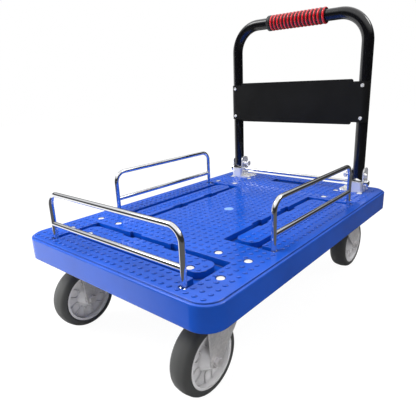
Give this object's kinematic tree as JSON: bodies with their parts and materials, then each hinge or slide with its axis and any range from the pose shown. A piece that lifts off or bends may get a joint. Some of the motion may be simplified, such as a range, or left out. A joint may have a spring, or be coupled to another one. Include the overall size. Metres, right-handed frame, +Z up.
{
  "type": "flatbed platform truck",
  "caption": "Flatbed platform truck with a moulded deck, a folding handle, fold-down side and front guards, and swivel casters with foot brakes.",
  "frame": {"origin": "on the floor, under the middle of the deck", "axes": "+X to the front, away from the handle; +Y to the left side; +Z up"},
  "size_m": [0.907, 0.6, 0.804],
  "materials": {
    "blue_plastic": "moulded, glossy",
    "blue_plug": "moulded, glossy",
    "chrome": "bright plated",
    "steel": "bright",
    "spring_steel": "drawn wire",
    "zinc": "zinc plated, satin",
    "black_paint": "gloss powder coat",
    "black_plastic": "satin",
    "black_rubber": "moulded, satin",
    "red_rubber": "moulded, satin",
    "orange_plastic": "moulded, glossy",
    "grey_plastic": "moulded, satin",
    "grey_tyre": "smooth tread"
  },
  "bodies": {
    "chassis": {"deck": "blue_plastic", "deck_plug": "blue_plug", "guard_pins": "steel", "left_bracket": "chrome", "right_bracket": "chrome", "bracket_screws": "steel", "pivot_bolts": "steel", "pivot_nuts": "steel", "release_springs": "spring_steel", "caster_bolts": "steel", "caster_nuts": "zinc", "king_pins": "zinc", "front_left_top_plate": "zinc", "front_right_top_plate": "zinc", "rear_left_top_plate": "zinc", "rear_right_top_plate": "zinc"},
    "handle": {"handle_tube": "black_paint", "handle_panel": "black_plastic", "panel_rivets": "steel", "grip": "black_rubber", "grip_rings": "red_rubber"},
    "front_guard_body": {"front_guard": "chrome"},
    "left_guard_body": {"left_guard": "chrome"},
    "right_guard_body": {"right_guard": "chrome"},
    "release": {"release_bar": "chrome", "release_caps": "chrome"},
    "front_left_caster": {"front_left_fork": "zinc", "front_left_seal_ring": "orange_plastic", "front_left_ball_race": "steel", "front_left_axle_bolt": "zinc"},
    "front_left_wheel": {"front_left_hub_bushing": "steel", "front_left_wheel_core": "grey_plastic", "front_left_tyre": "grey_tyre"},
    "front_right_caster": {"front_right_fork": "zinc", "front_right_seal_ring": "orange_plastic", "front_right_ball_race": "steel", "front_right_axle_bolt": "zinc"},
    "front_right_wheel": {"front_right_hub_bushing": "steel", "front_right_wheel_core": "grey_plastic", "front_right_tyre": "grey_tyre"},
    "rear_left_caster": {"rear_left_fork": "zinc", "rear_left_seal_ring": "orange_plastic", "rear_left_ball_race": "steel", "rear_left_axle_bolt": "zinc", "rear_left_pedal_pins": "zinc"},
    "rear_left_wheel": {"rear_left_hub_bushing": "steel", "rear_left_wheel_core": "grey_plastic", "rear_left_tyre": "grey_tyre"},
    "rear_left_pedal": {"rear_left_brake_pedal": "zinc"},
    "rear_right_caster": {"rear_right_fork": "zinc", "rear_right_seal_ring": "orange_plastic", "rear_right_ball_race": "steel", "rear_right_axle_bolt": "zinc", "rear_right_pedal_pins": "zinc"},
    "rear_right_wheel": {"rear_right_hub_bushing": "steel", "rear_right_wheel_core": "grey_plastic", "rear_right_tyre": "grey_tyre"},
    "rear_right_pedal": {"rear_right_brake_pedal": "zinc"}
  },
  "joints": [
    {"name": "handle_fold", "type": "hinge", "parent": "chassis", "child": "handle", "pos_m": [-0.374, 0, 0.306], "axis": [0, 1, 0], "range_deg": [0, 90]},
    {"name": "front_guard_fold", "type": "hinge", "parent": "chassis", "child": "front_guard_body", "pos_m": [0.414, 0, 0.247], "axis": [0, -1, 0], "range_deg": [0, 90]},
    {"name": "left_guard_fold", "type": "hinge", "parent": "chassis", "child": "left_guard_body", "pos_m": [-0.018, 0.258, 0.247], "axis": [1, 0, 0], "range_deg": [0, 90]},
    {"name": "right_guard_fold", "type": "hinge", "parent": "chassis", "child": "right_guard_body", "pos_m": [-0.018, -0.258, 0.247], "axis": [-1, 0, 0], "range_deg": [0, 90]},
    {"name": "release_press", "type": "slide", "parent": "chassis", "child": "release", "axis": [0, 0, -1], "range_m": [0, 0.014], "stiffness_N_per_m": 1500, "springref_m": -0.012, "deforming": ["release_springs"]},
    {"name": "front_left_swivel", "type": "hinge", "parent": "chassis", "child": "front_left_caster", "pos_m": [0.305, 0.206, 0.19], "axis": [0, 0, 1], "continuous": true},
    {"name": "front_left_roll", "type": "hinge", "parent": "front_left_caster", "child": "front_left_wheel", "pos_m": [0.365, 0.206, 0.08], "axis": [0, 1, 0], "continuous": true},
    {"name": "front_right_swivel", "type": "hinge", "parent": "chassis", "child": "front_right_caster", "pos_m": [0.305, -0.206, 0.19], "axis": [0, 0, 1], "continuous": true},
    {"name": "front_right_roll", "type": "hinge", "parent": "front_right_caster", "child": "front_right_wheel", "pos_m": [0.365, -0.206, 0.08], "axis": [0, 1, 0], "continuous": true},
    {"name": "rear_left_swivel", "type": "hinge", "parent": "chassis", "child": "rear_left_caster", "pos_m": [-0.305, 0.206, 0.19], "axis": [0, 0, 1], "continuous": true},
    {"name": "rear_left_roll", "type": "hinge", "parent": "rear_left_caster", "child": "rear_left_wheel", "pos_m": [-0.365, 0.206, 0.08], "axis": [0, 1, 0], "continuous": true},
    {"name": "rear_left_brake", "type": "hinge", "parent": "rear_left_caster", "child": "rear_left_pedal", "pos_m": [-0.409, 0.206, 0.164], "axis": [0, -1, 0], "range_deg": [0, 12]},
    {"name": "rear_right_swivel", "type": "hinge", "parent": "chassis", "child": "rear_right_caster", "pos_m": [-0.305, -0.206, 0.19], "axis": [0, 0, 1], "continuous": true},
    {"name": "rear_right_roll", "type": "hinge", "parent": "rear_right_caster", "child": "rear_right_wheel", "pos_m": [-0.365, -0.206, 0.08], "axis": [0, 1, 0], "continuous": true},
    {"name": "rear_right_brake", "type": "hinge", "parent": "rear_right_caster", "child": "rear_right_pedal", "pos_m": [-0.409, -0.206, 0.164], "axis": [0, -1, 0], "range_deg": [0, 12]}
  ]
}
